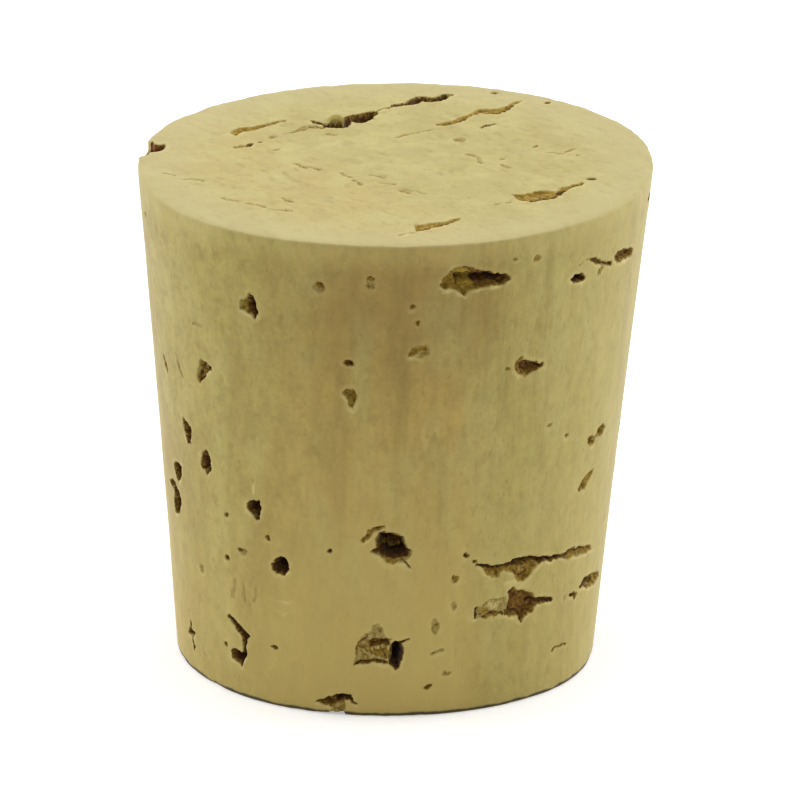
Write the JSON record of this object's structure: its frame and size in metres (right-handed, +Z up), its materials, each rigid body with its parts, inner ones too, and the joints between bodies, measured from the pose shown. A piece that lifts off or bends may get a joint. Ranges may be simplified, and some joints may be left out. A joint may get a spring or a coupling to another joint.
{
  "type": "cork stopper",
  "caption": "Tapered natural cork stopper with level ends, dark open pores and short cracks.",
  "frame": {"origin": "on the face of the small end, straight below the middle of the large end", "axes": "+Z up from the small end to the large end, -Y to the front, +X to the right"},
  "size_m": [0.0399, 0.04, 0.04],
  "materials": {
    "cork": "matte"
  },
  "bodies": {
    "root": {"stopper": "cork"}
  },
  "joints": []
}
